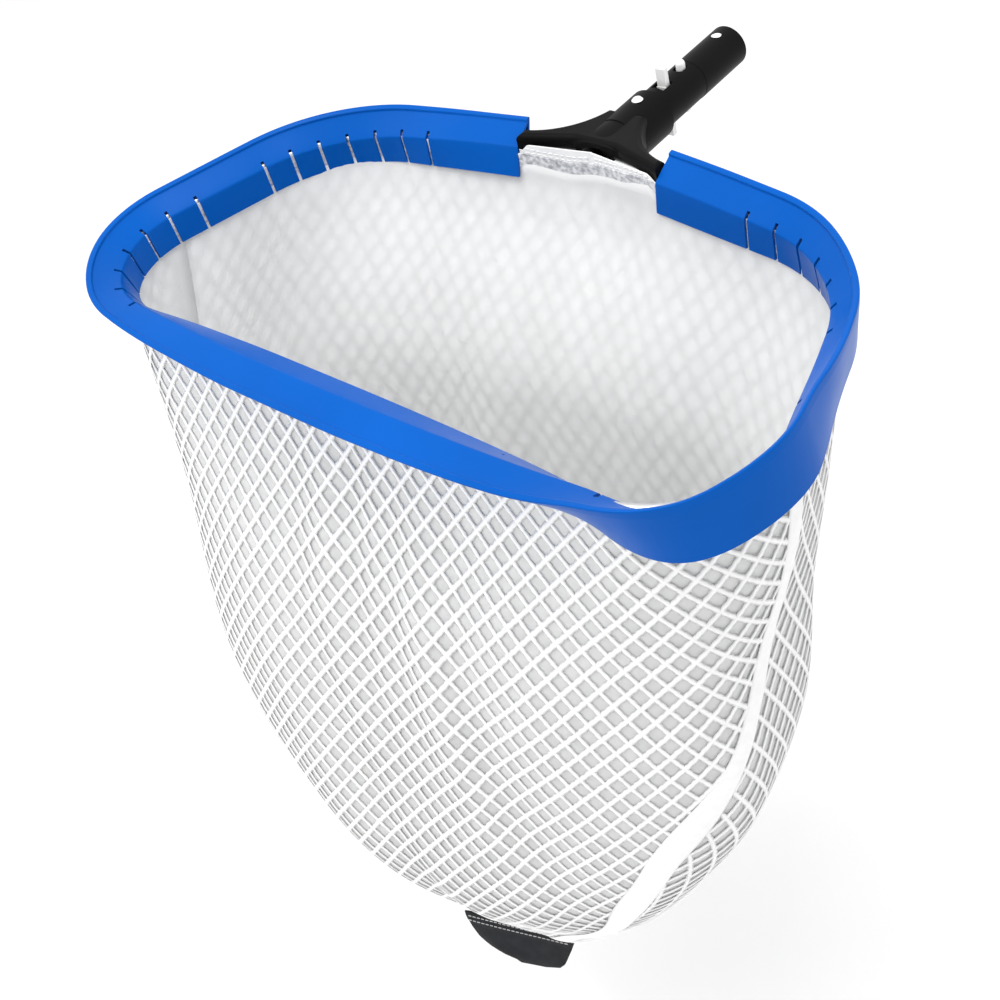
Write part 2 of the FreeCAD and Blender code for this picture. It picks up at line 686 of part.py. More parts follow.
def make_hem():
    """White hem: a sleeve round the hoop's tube in the edging, and a band inside of it."""
    thick = size("hem_thick")
    band = ring_shape(-size("hem_in"), thick, size("hem_top"), size("hem_bottom"))
    sleeve_path = hoop_geometry(size("rod_out"), size("back_run") - SLEEVE_SHORT)
    wire = Part.Wire([curve.toShape() for curve in sleeve_path])
    front = Vector(0, size("hoop_front_y") - size("rod_out"), size("hoop_z") + size("rod_up"))
    wire.translate(Vector(0, 0, front.z))
    sleeve_section = Part.Wire(Part.Circle(front, Vector(1, 0, 0), size("sleeve_radius")).toShape())
    tube_section = Part.Wire(Part.Circle(front, Vector(1, 0, 0), size("hoop_rod") + 0.06).toShape())
    inwards = (size("hoop_rod") + 0.2, size("rod_out") + size("hem_in"))
    web_corners = [front + Vector(0, y, z) for y, z in
                   ((inwards[0], -0.8), (inwards[1], -0.8), (inwards[1], 0.3), (inwards[0], 0.3))]
    web_section = Part.makePolygon(web_corners + [web_corners[0]])
    sleeve, hollow, web = [wire.makePipeShell([section], True, False)
                           for section in (sleeve_section, tube_section, web_section)]
    half = sleeve.fuse(web).cut(hollow)
    whole = band.fuse([half, half.mirror(Vector(0, 0, 0), Vector(1, 0, 0))]).removeSplitter()
    shape_part("bag_hem", whole)
    face = -size("hem_in") - thick / 2
    shape_part("hem_facing", ring_shape(face - 0.4, 0.7, size("facing_top"), size("facing_bottom")))
    thread_z = size("facing_top") + 1.4
    shape_part("hem_stitching", ring_shape(face - 0.3, 0.5, thread_z + 0.8, thread_z))


# ---------------------------------------------------------------- bag


def mouth_radius_table():
    """Distance from the seams' midpoint to the hoop's centre line, against the angle."""
    table = []
    steps = 240
    length = hoop_length() + run_to_middle(0.0) - size("back_run")
    for number in range(steps + 1):
        x, y, _ = hoop_point(length * number / steps)
        lift = y - size("bag_seam_mouth")
        table.append((math.atan2(lift, max(x, 1e-9)), math.hypot(x, lift)))
    return table


MOUTH = mouth_radius_table()
MOUTH_IN = 2.9
"""How far inside the hoop's centre line the mesh starts."""
LINER_GAP = 0.4
"""Gap between the outer net and the liner."""


def mouth_radius(angle):
    """Radius of the mouth at an angle between -90 and 90 degrees, front to back."""
    for (low, near), (high, far) in zip(MOUTH[:-1], MOUTH[1:]):
        if angle <= high:
            part = (angle - low) / (high - low)
            return blend(near, far, min(max(part, 0.0), 1.0))
    return MOUTH[-1][1]


def station(stem, level):
    """A size given at the five stations, between them along a smooth curve."""
    values = [size(f"{stem}_{name}") for name in STATIONS]
    last = len(values) - 1
    index = min(int(level * last), last - 1)
    part = level * last - index
    low, high = values[index], values[index + 1]
    before = values[index - 1] if index > 0 else low
    after = values[index + 2] if index + 2 <= last else high
    leave, arrive = (high - before) / 2, (after - low) / 2
    return (low * (1 + 2 * part) * (1 - part) ** 2 + leave * part * (1 - part) ** 2
            + high * part ** 2 * (3 - 2 * part) + arrive * part ** 2 * (part - 1))


def bag_radius(level, angle, inset):
    """Distance from the bag's middle to its surface, at a level from 0 at the mouth to 1."""
    closing = (1 - level ** BOTTOM_ROUNDING) ** (1 / BOTTOM_ROUNDING)
    width = station("bag_width", level) * closing
    in_front = math.sin(angle) < 0
    depth = station("bag_front" if in_front else "bag_back", level) * closing
    low_power = 2.49 if in_front else 3.21
    power = blend(3.4, low_power, min(level * 1.6, 1.0))
    oval = ((abs(math.cos(angle)) / width) ** power + (abs(math.sin(angle)) / depth) ** power) ** (-1 / power)
    folded = angle if abs(angle) <= math.pi / 2 else math.copysign(math.pi, angle) - angle
    fade = min(level / MOUTH_FADE, 1.0)
    fade = fade * fade * (3 - 2 * fade)
    return blend(mouth_radius(folded) - MOUTH_IN, oval, fade) - inset


def bag_middle(level):
    """Point half-way between the side seams."""
    return Vector(0, station("bag_seam", level), blend(size("bag_top"), size("bag_bottom"), level))


def bag_point(level, angle, inset):
    """A point of the bag; angle 0 is the right seam, 90 degrees the back, -90 the front."""
    turned = angle + math.radians(size("bag_twist")) * level
    radius = bag_radius(level, angle, inset)
    return bag_middle(level) + Vector(radius * math.cos(turned), radius * math.sin(turned), 0)


def panel_section(level, start, inset, fill):
    """Closed outline of one panel at a level: outer curve, end, inner curve, end.

    Fill goes from 0, a wall of the mesh's thickness, to 1, no hollow at all.
    """
    thick = size("mesh_thick")
    curves = []
    for depth in (0.0, thick):
        points = []
        for number in range(PANEL_POINTS + 1):
            angle = start + math.pi * number / PANEL_POINTS
            point = bag_point(level, angle, inset + depth)
            if depth > 0:
                point += (bag_middle(level) - point) * fill
            points.append(point)
        spline = Part.BSplineCurve()
        spline.interpolate(points if depth == 0 else points[::-1])
        curves.append(spline.toShape())
    outer, inner = curves
    first_end = Part.makeLine(outer.Vertexes[-1].Point, inner.Vertexes[0].Point)
    second_end = Part.makeLine(inner.Vertexes[-1].Point, outer.Vertexes[0].Point)
    return Part.Wire([outer, first_end, inner, second_end])


def make_bag():
    """Outer net and inner liner, each of a front and a back panel joined at the side seams."""
    for name, inset in (("bag_net", 0.0), ("bag_liner", size("mesh_thick") + LINER_GAP)):
        for panel, start in (("front", -math.pi), ("back", 0.0)):
            wires = []
            for level in BAG_LEVELS:
                fill = 0.97 if level == BAG_LEVELS[-1] else 0.0
                wires.append(panel_section(level, start, inset, fill))
            shape_part(f"{name}_{panel}", Part.makeLoft(wires, True, False))


BINDING = (0.6, 5.0)
"""Half thickness and half width of a seam binding."""


def make_seam_bindings():
    """A narrow binding inside each side seam, from below the hem to the rounded bottom."""
    inset = 2 * size("mesh_thick") + LINER_GAP + 1.6
    half_thick, half_width = BINDING
    for side, angle in (("right", 0.0), ("left", math.pi)):
        wires = []
        for level in BAG_LEVELS[1:10]:
            centre = bag_point(level, angle, inset)
            turned = angle + math.radians(size("bag_twist")) * level
            out = Vector(math.cos(turned), math.sin(turned), 0)
            along = Vector(-out.y, out.x, 0)
            deep, wide = out * half_thick, along * half_width
            corners = [centre + deep - wide, centre + deep + wide, centre - deep + wide, centre - deep - wide]
            wires.append(Part.makePolygon(corners + [corners[0]]))
        shape_part(f"seam_binding_{side}", Part.makeLoft(wires, True, True))


TAB_TOP = Vector(-12.0, -423.0, -583.5)
"""Middle of the pull tab's top edge, just in front of the bag's bottom seam."""
TAB_CORNERS = ((0.88, -1.0, 7.0), (-0.74, -0.86, 14.0))
"""The tab's two lower corners, as parts of its half width and drop, and their radii."""
TAB_ROWS = (3.0, 7.0)
"""How far below the tab's top edge its two rows of stitches run."""


def make_pull_tab():
    """Black pull tab sewn to the middle of the bottom seam, with two rows of stitches."""
    half = size("tab_width") / 2
    drop = size("tab_drop")
    thick = size("tab_thick")
    turn = Rotation(Vector(0, 0, 1), size("tab_turn")) * Rotation(Vector(1, 0, 0), -size("tab_lean"))
    placement = Placement(TAB_TOP, turn)
    body = new_body("pull_tab_body")
    outline = new_sketch(body, "XZ_Plane", "pull_tab_outline")
    corners = [(-half, 0.0, 0.0), (half, 0.0, 0.0)]
    corners += [(half * across, drop * down, radius) for across, down, radius in TAB_CORNERS]
    outline.addGeometry(rounded_outline(corners), False)
    plate = body.newObject("PartDesign::Pad", "pull_tab_pad")
    plate.Profile = outline
    plate.Midplane = True
    bind(plate, Length="Dims.tab_thick")
    doc.recompute()
    rows = []
    for depth in TAB_ROWS:
        for side in (1, -1):
            row = Part.makeBox(2 * half - 12, 0.5, 0.8, Vector(-half + 6, 0, -depth))
            row.translate(Vector(0, side * (thick / 2 + 0.3) - 0.25, 0))
            rows.append(row)
        for x in (-half + 8, half - 8):
            rows.append(Part.makeBox(0.8, thick + 0.6, 0.8, Vector(x, -thick / 2 - 0.3, -depth)))
    stitches = rows[0].fuse(rows[1:])
    holes = doc.addObject("Part::Feature", "tab_stitch_holes")
    holes.Shape = stitches
    holes.Placement = placement
    body.Placement = placement
    finished(cut("pull_tab_cut", body, [holes]), "pull_tab")
    shape_part("tab_stitching", stitches, placement)


make_frame_hoop()
make_edging()
make_yoke()
make_handle_tube()
make_socket_pin()
make_nose_rivet()
make_clip()
make_hem()
make_bag()
make_seam_bindings()
make_pull_tab()
doc.recompute()

for obj in doc.Objects:
    if "Invalid" in obj.State or "Error" in obj.State:
        raise RuntimeError(f"{obj.Name} failed: {obj.State}")
for part in sub_parts:
    if part.Shape.isNull() or not part.Shape.isValid():
        raise RuntimeError(f"{part.Label} has no valid shape")

os.makedirs("parts", exist_ok=True)
for part in sub_parts:
    part.Shape.exportStep(os.path.join("parts", part.Label + ".step"))
    box_size = part.Shape.BoundBox
    print(f"{part.Label}: {part.Shape.Volume:.0f} mm3, {len(part.Shape.Solids)} solids, "
          f"{box_size.XLength:.1f} x {box_size.YLength:.1f} x {box_size.ZLength:.1f} mm")
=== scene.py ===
import math

import bpy
import numpy as np
from mathutils import Matrix, Vector


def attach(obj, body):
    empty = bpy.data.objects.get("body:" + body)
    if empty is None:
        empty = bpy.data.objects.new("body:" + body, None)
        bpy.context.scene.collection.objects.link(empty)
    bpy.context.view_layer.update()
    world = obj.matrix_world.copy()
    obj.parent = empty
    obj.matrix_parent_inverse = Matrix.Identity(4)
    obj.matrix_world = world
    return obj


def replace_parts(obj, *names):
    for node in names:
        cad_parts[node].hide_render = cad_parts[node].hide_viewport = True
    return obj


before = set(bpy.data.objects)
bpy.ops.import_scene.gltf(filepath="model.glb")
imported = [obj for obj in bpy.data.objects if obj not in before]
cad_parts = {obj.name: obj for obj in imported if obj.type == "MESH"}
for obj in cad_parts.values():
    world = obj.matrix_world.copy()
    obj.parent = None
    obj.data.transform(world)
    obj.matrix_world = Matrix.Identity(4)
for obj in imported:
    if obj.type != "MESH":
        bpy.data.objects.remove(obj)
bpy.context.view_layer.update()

# Lengths are in millimetres until a mesh is made, and the frame is the CAD's: the origin is the
# centre of the spigot's open end, +Y runs out to the pole, +X to the right and +Z up.
MM = 0.001
BODY = "net"
"""The body that every piece rides on unless it says otherwise."""


# ---------------------------------------------------------------- camera, light and floor

LENS_MM, SENSOR_MM = 49.57, 36.0
CAMERA_PLACE = (0.52788, -0.71192, 0.46500)
CAMERA_RIGHT = (0.7467139, 0.62655339, -0.22326935)
CAMERA_DOWN = (0.33132696, -0.64143811, -0.69193902)
CAMERA_VIEW = (-0.5767502, 0.44270533, -0.68656478)
LAMPS = [("key", (-0.9, -1.5, 1.9), 9.5, 1.3, (1.0, 0.99, 0.97)),
         ("top", (0.05, -0.45, 1.5), 14.0, 0.9, (1.0, 1.0, 1.0)),
         ("fill", (-1.3, -1.3, -0.5), 6.0, 1.2, (1.0, 1.0, 1.0))]
"""Name, place in metres, power in watts, width in metres and colour."""
LAMP_AIM = (0.0, -0.35, -0.25)
FLOOR_HALF, FLOOR_Z = 9.0, -0.78
FLOOR_COLOUR = (0.95, 0.95, 0.95, 1.0)


def add_camera():
    """The photograph's view of the object."""
    data = bpy.data.cameras.new("camera")
    data.sensor_width = SENSOR_MM
    data.lens = LENS_MM
    camera = bpy.data.objects.new("camera", data)
    axes = (Vector(CAMERA_RIGHT), -Vector(CAMERA_DOWN), -Vector(CAMERA_VIEW))
    matrix = Matrix(axes).transposed().to_4x4()
    matrix.translation = Vector(CAMERA_PLACE)
    camera.matrix_world = matrix
    bpy.context.scene.collection.objects.link(camera)
    bpy.context.scene.camera = camera


def add_lamps():
    for name, place, power, width, colour in LAMPS:
        data = bpy.data.lights.new(name, "AREA")
        data.energy = power
        data.size = width
        data.color = colour
        lamp = bpy.data.objects.new(name, data)
        lamp.location = place
        aim = Vector(LAMP_AIM) - lamp.location
        lamp.rotation_euler = aim.to_track_quat("-Z", "Y").to_euler()
        bpy.context.scene.collection.objects.link(lamp)


def add_world():
    world = bpy.data.worlds.new("studio")
    world.use_nodes = True
    background = world.node_tree.nodes["Background"]
    background.inputs["Color"].default_value = (1.0, 1.0, 1.0, 1.0)
    background.inputs["Strength"].default_value = 1.0
    bpy.context.scene.world = world
    bpy.context.scene.view_settings.view_transform = "Standard"


def add_floor():
    corners = [(x * FLOOR_HALF, y * FLOOR_HALF, FLOOR_Z) for x, y in ((-1, -1), (1, -1), (1, 1), (-1, 1))]
    mesh = bpy.data.meshes.new("floor")
    mesh.from_pydata(corners, [], [(0, 1, 2, 3)])
    floor = bpy.data.objects.new("floor", mesh)
    bpy.context.scene.collection.objects.link(floor)
    paint = bpy.data.materials.new("floor_paint")
    paint.use_nodes = True
    shader = paint.node_tree.nodes["Principled BSDF"]
    shader.inputs["Base Color"].default_value = FLOOR_COLOUR
    shader.inputs["Roughness"].default_value = 0.9
    mesh.materials.append(paint)


# ---------------------------------------------------------------- materials


class Finish:
    """A procedural material, built node by node."""

    def __init__(self, name, roughness, **sockets):
        self.material = bpy.data.materials.new(name)
        self.material.use_nodes = True
        self.tree = self.material.node_tree
        self.shader = self.tree.nodes["Principled BSDF"]
        self.shader.inputs["Roughness"].default_value = roughness
        for socket, value in sockets.items():
            self.shader.inputs[socket.replace("_", " ")].default_value = value
        self.place = self.tree.nodes.new("ShaderNodeTexCoord").outputs["Object"]
        self.bumps = None

    def link(self, output, socket):
        self.tree.links.new(output, socket)
        return self

    def noise(self, scale, detail=2.0, stretch=(1, 1, 1)):
        mapping = self.tree.nodes.new("ShaderNodeMapping")
        mapping.inputs["Scale"].default_value = stretch
        node = self.tree.nodes.new("ShaderNodeTexNoise")
        node.inputs["Scale"].default_value = scale
        node.inputs["Detail"].default_value = detail
        self.link(self.place, mapping.inputs["Vector"])
        self.link(mapping.outputs["Vector"], node.inputs["Vector"])
        return node.outputs["Fac"]

    def waves(self, scale, direction, distortion=0.0):
        node = self.tree.nodes.new("ShaderNodeTexWave")
        node.bands_direction = direction
        node.inputs["Scale"].default_value = scale
        node.inputs["Distortion"].default_value = distortion
        self.link(self.place, node.inputs["Vector"])
        return node.outputs["Fac"]

    def ramp(self, output, stops):
        node = self.tree.nodes.new("ShaderNodeValToRGB")
        elements = node.color_ramp.elements
        for element, (place, colour) in zip(elements, stops):
            element.position = place
            element.color = (*colour, 1.0)
        self.link(output, node.inputs["Fac"])
        return node.outputs["Color"]

    def colour(self, output, low, high, start=0.3, end=0.7):
        return self.link(self.ramp(output, [(start, low), (end, high)]), self.shader.inputs["Base Color"])

    def rough(self, output, low, high):
        node = self.tree.nodes.new("ShaderNodeMapRange")
        node.inputs["To Min"].default_value = low
        node.inputs["To Max"].default_value = high
        self.link(output, node.inputs["Value"])
        return self.link(node.outputs["Result"], self.shader.inputs["Roughness"])

    def bump(self, output, strength, depth):
        node = self.tree.nodes.new("ShaderNodeBump")
        node.inputs["Strength"].default_value = strength
        node.inputs["Distance"].default_value = depth * MM
        self.link(output, node.inputs["Height"])
        if self.bumps is not None:
            self.link(self.bumps, node.inputs["Normal"])
        self.bumps = node.outputs["Normal"]
        return self.link(self.bumps, self.shader.inputs["Normal"])


def blue_plastic():
    finish = Finish("edging_blue", 0.3, Specular_IOR_Level=0.07)
    broad = finish.noise(9.0, 3.0)
    finish.colour(broad, (0.0002, 0.084, 0.40), (0.0006, 0.098, 0.46))
    finish.rough(finish.noise(40.0, 4.0), 0.24, 0.38)
    finish.bump(finish.noise(26.0, 2.0), 0.25, 0.5)
    finish.bump(finish.noise(900.0, 3.0), 0.10, 0.05)
    return finish.material


def black_plastic():
    finish = Finish("satin_black", 0.42, Specular_IOR_Level=0.08)
    finish.colour(finish.noise(14.0, 4.0), (0.0018, 0.0018, 0.002), (0.0042, 0.0042, 0.0044))
    finish.rough(finish.noise(60.0, 4.0), 0.36, 0.52)
    finish.bump(finish.noise(1500.0, 2.0), 0.35, 0.05)
    return finish.material


def white_nylon():
    finish = Finish("white_nylon", 0.35, Specular_IOR_Level=0.5, Subsurface_Weight=0.15)
    finish.shader.inputs["Subsurface Radius"].default_value = (0.002, 0.002, 0.002)
    finish.colour(finish.noise(120.0, 2.0), (0.82, 0.82, 0.81), (0.9, 0.9, 0.89))
    finish.bump(finish.noise(700.0, 2.0), 0.1, 0.05)
    return finish.material


def hoop_metal():
    finish = Finish("hoop_metal", 0.35, Metallic=1.0)
    finish.colour(finish.noise(30.0, 3.0), (0.62, 0.63, 0.64), (0.74, 0.75, 0.76))
    finish.bump(finish.noise(900.0, 2.0, (0.1, 1, 1)), 0.2, 0.05)
    return finish.material


def hem_tape():
    finish = Finish("hem_tape", 0.8, Sheen_Weight=0.3, Specular_IOR_Level=0.2)
    finish.colour(finish.noise(160.0, 3.0), (0.88, 0.88, 0.88), (0.93, 0.93, 0.93))
    finish.bump(finish.waves(330.0, "Z", 0.6), 0.3, 0.12)
    finish.bump(finish.noise(1400.0, 3.0), 0.3, 0.06)
    return finish.material


def facing_tape():
    finish = Finish("facing_tape", 0.85, Sheen_Weight=0.2, Specular_IOR_Level=0.2)
    finish.colour(finish.noise(330.0, 4.0), (0.36, 0.37, 0.40), (0.80, 0.80, 0.82), 0.34, 0.62)
    finish.bump(finish.noise(900.0, 3.0), 0.6, 0.25)
    return finish.material


def cord_white():
    finish = Finish("net_cord", 0.62, Sheen_Weight=0.35, Specular_IOR_Level=0.3)
    finish.colour(finish.noise(150.0, 4.0), (0.90, 0.905, 0.90), (0.97, 0.97, 0.97))
    finish.bump(finish.waves(520.0, "DIAGONAL", 1.5), 0.45, 0.25)
    finish.bump(finish.noise(1800.0, 2.0), 0.4, 0.12)
    return finish.material


def liner_mesh(name, dark, light, see_through, glow):
    """Ultra-fine mesh: a woven cloth that glows with light from behind, and shows a little of it."""
    finish = Finish(name, 0.75, Sheen_Weight=0.25, Specular_IOR_Level=0.15)
    tree = finish.tree
    finish.colour(finish.noise(60.0, 4.0), dark, light)
    finish.bump(finish.waves(700.0, "X", 0.4), 0.35, 0.12)
    finish.bump(finish.waves(700.0, "Z", 0.4), 0.35, 0.12)
    translucent = tree.nodes.new("ShaderNodeBsdfTranslucent")
    translucent.inputs["Color"].default_value = (0.97, 0.975, 0.97, 1.0)
    clear = tree.nodes.new("ShaderNodeBsdfTransparent")
    cloth = tree.nodes.new("ShaderNodeMixShader")
    cloth.inputs["Fac"].default_value = glow
    whole = tree.nodes.new("ShaderNodeMixShader")
    whole.inputs["Fac"].default_value = see_through
    output = tree.nodes["Material Output"]
    finish.link(finish.shader.outputs["BSDF"], cloth.inputs[1])
    finish.link(translucent.outputs["BSDF"], cloth.inputs[2])
    finish.link(cloth.outputs["Shader"], whole.inputs[1])
    finish.link(clear.outputs["BSDF"], whole.inputs[2])
    finish.link(whole.outputs["Shader"], output.inputs["Surface"])
    return finish.material


def tab_webbing():
    finish = Finish("tab_webbing", 0.62, Specular_IOR_Level=0.15, Sheen_Weight=0.05)
    finish.colour(finish.noise(90.0, 4.0), (0.008, 0.009, 0.0115), (0.016, 0.0175, 0.021))
    finish.bump(finish.waves(600.0, "DIAGONAL", 0.5), 0.3, 0.15)
    finish.bump(finish.noise(1200.0, 3.0), 0.4, 0.1)
    return finish.material


def thread(name, low, high):
    finish = Finish(name, 0.6, Sheen_Weight=0.2)
    finish.colour(finish.noise(300.0, 2.0), low, high)
    finish.bump(finish.waves(900.0, "DIAGONAL", 0.5), 0.5, 0.1)
    return finish.material


# ---------------------------------------------------------------- meshes


def add_piece(name, points, faces, material, body=BODY, sharp=math.radians(38)):
    """A mesh object from points in millimetres, smooth except at sharp edges."""
    mesh = bpy.data.meshes.new(name)
    mesh.from_pydata((np.asarray(points) * MM).tolist(), [], [list(map(int, face)) for face in faces])
    mesh.validate()
    mesh.materials.append(material)
    mesh.shade_smooth()
    if sharp is not None:
        mesh.set_sharp_from_angle(angle=sharp)
    piece = bpy.data.objects.new(name, mesh)
    bpy.context.scene.collection.objects.link(piece)
    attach(piece, body)
    return piece


def joined(parts):
    """Several (points, faces) as one."""
    points, faces, base = [], [], 0
    for part_points, part_faces in parts:
        points.append(part_points)
        faces.extend([[index + base for index in face] for face in part_faces])
        base += len(part_points)
    return np.concatenate(points), faces


def swept(line, normals, section, widths=1.0):
    """A closed section, as (sideways, along the normal), swept along an open line, with flat ends."""
    line, normals = np.asarray(line), np.asarray(normals)
    tangents = np.gradient(line, axis=0)
    tangents /= np.linalg.norm(tangents, axis=1)[:, None]
    sides = np.cross(tangents, normals)
    sides /= np.linalg.norm(sides, axis=1)[:, None]
    ups = np.cross(sides, tangents)
    count = len(section)
    section = np.asarray(section)
    sides *= np.broadcast_to(widths, len(line))[:, None]
    points = (line[:, None] + sides[:, None] * section[None, :, :1] + ups[:, None] * section[None, :, 1:])
    faces = []
    for row in range(len(line) - 1):
        for column in range(count):
            after = (column + 1) % count
            here, there = row * count, (row + 1) * count
            faces.append((here + column, here + after, there + after, there + column))
    faces.append(tuple(range(count - 1, -1, -1)))
    faces.append(tuple(range((len(line) - 1) * count, len(line) * count)))
    return points.reshape(-1, 3), faces


def ellipse(half_width, half_height, sides):
    turns = np.arange(sides) * 2 * math.pi / sides
    return np.stack([half_width * np.cos(turns), half_height * np.sin(turns)], -1)


def sheet_grid(points):
    """Faces of a grid of points."""
    rows, columns = points.shape[:2]
    index = np.arange(rows * columns).reshape(rows, columns)
    faces = np.stack([index[:-1, :-1], index[:-1, 1:], index[1:, 1:], index[1:, :-1]], -1)
    return points.reshape(-1, 3), faces.reshape(-1, 4)


# ---------------------------------------------------------------- the hoop's path

FRONT_Y, HOOP_Z = -391.8, -4.0
LEAN, SLOPE = math.radians(90 + 16.9), math.radians(180 - 8.5)
RUNS = [("line", 185.2, 0.0), ("arc", 63.6, LEAN), ("line", 70.86, LEAN),
        ("arc", 101.0, SLOPE), ("line", 88.4, SLOPE)]
EDGING_HALF = 185.2 + 63.6 * LEAN + 70.86 + 101.0 * (SLOPE - LEAN) + 88.4


def hoop_point(distance):
    """Point and outward direction, a signed distance from the front middle, left negative."""
    side = 1.0 if distance >= 0 else -1.0
    left = abs(distance)
    x, y, heading = 0.0, FRONT_Y, 0.0
    for number, (kind, amount, end) in enumerate(RUNS):
        last = number == len(RUNS) - 1
        if kind == "line":
            step = left if last else min(left, amount)
            x += step * math.cos(heading)
            y += step * math.sin(heading)
        else:
            step = min(left, amount * (end - heading))
            turned = heading + step / amount
            x += amount * (math.sin(turned) - math.sin(heading))
            y -= amount * (math.cos(turned) - math.cos(heading))
            heading = turned
        left -= step
        if left <= 1e-9:
            break
    return np.array([side * x, y, HOOP_Z]), np.array([side * math.sin(heading), -math.cos(heading), 0.0])


# ---------------------------------------------------------------- edging

FLANK_SLOPE = [(-577, 27), (-540, 27), (-500, 40), (-460, 50), (-423, 51), (-385, 45), (-346, 41),
               (-231, 37), (-192, 11), (-154, -2), (-115, -9), (-75, -15), (20, -15), (77, -10),
               (115, -4), (154, 6), (192, 30), (231, 60), (308, 60), (346, 43), (385, 44),
               (423, 53), (462, 49), (540, 37), (577, 37)]
"""Slope of the edging's flank in degrees, against the signed distance round the hoop.

The values are a least-squares fit to the photo's outlines, rounded to whole degrees.
"""
EDGING_CORNERS = [(-5.4, -11.1, 0.0), (-7.2, 8.9, 2.6), (4.2, 22.5, 0.9), (3.9, 24.3, 0.9),
                  (7.4, 26.6, 1.5), (7.6, 20.5, 2.5), (6.9, -12.0, 0.0)]
"""The channel's outer outline: outwards, up and the radius of each corner."""
EDGING_WALL = 1.6
EDGING_STATIONS = 260
DRAWN_SLOPE, SLOPE_BLEND = 50.0, 18.0
BULGE_AT, BULGE_LENGTH, BULGE_OUT, BULGE_DOWN = 224.0, 30.0, 4.0, 4.5
CORNER_STEPS, LONGEST_STEP = 5, 4.0
SLITS = [72.3 + 21.7 * n for n in range(7)] + [255.5 + 22.8 * n for n in range(7)]
"""Distances of the relief slits from the edging's ends."""
SLIT_HALF, SLIT_CLEAR = 1.15, 0.8
FLAP_HEIGHT, SLIT_PAST_BEND = 20.0, 4.2


def edging_turn(distance):
    """How far the edging's section is turned from its drawn slope, in radians."""
    nearby = distance + np.linspace(-SLOPE_BLEND, SLOPE_BLEND, 13)
    return math.radians(np.interp(nearby, *zip(*FLANK_SLOPE)).mean() - DRAWN_SLOPE)


def edging_sag(distance):
    """The edging bulges and droops at its right front corner: how far outwards and up."""
    bulge = math.exp(-((distance - BULGE_AT) / BULGE_LENGTH) ** 2)
    return BULGE_OUT * bulge, -BULGE_DOWN * bulge


def rounded_line(corners):
    """Points along an open line of corners (x, y, radius)."""
    points = [np.array(corners[0][:2])]
    for before, (x, y, radius), after in zip(corners[:-2], corners[1:-1], corners[2:]):
        here = np.array([x, y])
        back = np.array(before[:2]) - here
        ahead = np.array(after[:2]) - here
        room = min(np.linalg.norm(back), np.linalg.norm(ahead)) * 0.49
        back /= np.linalg.norm(back)
        ahead /= np.linalg.norm(ahead)
        half = math.acos(max(-1.0, min(1.0, float(back @ ahead)))) / 2
        reach = min(radius / math.tan(half), room)
        start, end = here + back * reach, here + ahead * reach
        for number in range(CORNER_STEPS + 1):
            part = number / CORNER_STEPS
            points.append(start * (1 - part) ** 2 + here * 2 * part * (1 - part) + end * part ** 2)
    points.append(np.array(corners[-1][:2]))
    return np.array(points)


def filled(line, longest):
    """The same line with extra points so that no step is longer than given."""
    points = [line[0]]
    for before, after in zip(line[:-1], line[1:]):
        count = max(1, int(np.linalg.norm(after - before) / longest))
        points.extend(before + (after - before) * n / count for n in range(1, count + 1))
    return np.array(points)


def edging_contours():
    """The channel's outer and inner outlines, and the point of the outline where the slits end."""
    outer = filled(rounded_line(EDGING_CORNERS), LONGEST_STEP)
    along = np.gradient(outer, axis=0)
    along /= np.linalg.norm(along, axis=1)[:, None]
    inner = outer + np.stack([along[:, 1], -along[:, 0]], -1) * EDGING_WALL
    run = np.concatenate([[0], np.cumsum(np.linalg.norm(np.diff(outer, axis=0), axis=1))])
    return outer, inner, int(np.searchsorted(run, FLAP_HEIGHT + SLIT_PAST_BEND))


def edging_stations():
    """Signed distances of the edging's sections, and those at which a slit begins."""
    stations = list(np.linspace(0, EDGING_HALF, EDGING_STATIONS))
    for slit in SLITS:
        centre = EDGING_HALF - slit
        stations = [d for d in stations if abs(d - centre) > SLIT_HALF + SLIT_CLEAR]
        stations += [centre - SLIT_HALF, centre + SLIT_HALF]
    stations = sorted(stations)
    signed = [-d for d in reversed(stations) if d > 0] + stations
    centres = [side * (EDGING_HALF - slit) for slit in SLITS for side in (1, -1)]
    return signed, {round(centre - SLIT_HALF, 4) for centre in centres}


def wall_end(row, count, last, backwards):
    """Faces that close the wall between its two outlines at one section."""
    quads = [(row + k, row + k + 1, row + count + k + 1, row + count + k) for k in range(last)]
    return [quad[::-1] for quad in quads] if backwards else quads


def edging_faces(stations, slit_starts, count, slit_end):
    """Faces of the channel; each section has its outer and then its inner outline."""
    faces = []
    for number, distance in enumerate(stations[:-1]):
        here, there = number * 2 * count, (number + 1) * 2 * count
        first = slit_end if round(distance, 4) in slit_starts else 0
        for k in range(first, count - 1):
            faces.append((here + k, there + k, there + k + 1, here + k + 1))
            faces.append((here + count + k, here + count + k + 1, there + count + k + 1, there + count + k))
        faces.append((here + first, here + count + first, there + count + first, there + first))
        faces.append((here + count - 1, there + count - 1, there + 2 * count - 1, here + 2 * count - 1))
        faces.extend(wall_end(here, count, first, False))
        faces.extend(wall_end(there, count, first, True))
    faces.extend(wall_end(0, count, count - 1, True))
    faces.extend(wall_end((len(stations) - 1) * 2 * count, count, count - 1, False))
    return faces


